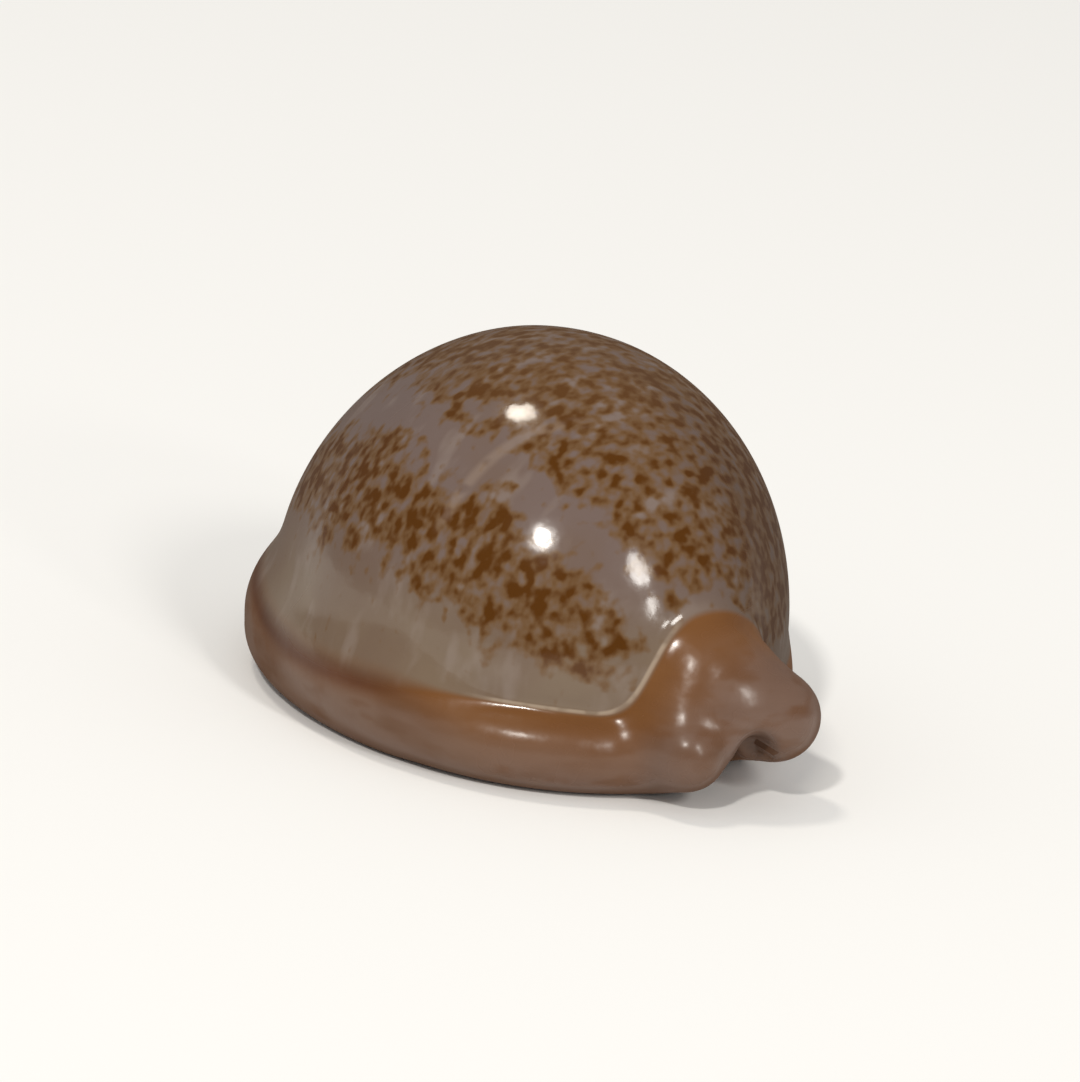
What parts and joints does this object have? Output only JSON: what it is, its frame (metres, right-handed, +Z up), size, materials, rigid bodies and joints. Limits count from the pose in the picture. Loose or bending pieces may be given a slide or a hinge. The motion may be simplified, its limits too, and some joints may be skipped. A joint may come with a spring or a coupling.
{
  "type": "cowrie shell",
  "caption": "Humped cowrie shell: tall glossy speckled dome on a thick callus rim, hooded rear canal between two lobes, and a narrow toothed slit along the flat base.",
  "frame": {"origin": "middle of the bounding box at the level of the flat base", "axes": "+X toward the rear (hooded) end along the length, +Y toward the outer lip, -Y toward the columellar side, +Z up from the base to the top of the hump"},
  "size_m": [0.056, 0.0434, 0.0305],
  "materials": {
    "shell": "naturally glazed shell: grey-mauve back with brown specks, flesh-brown callus"
  },
  "bodies": {
    "root": {"cowrie_shell": "shell"}
  },
  "joints": []
}
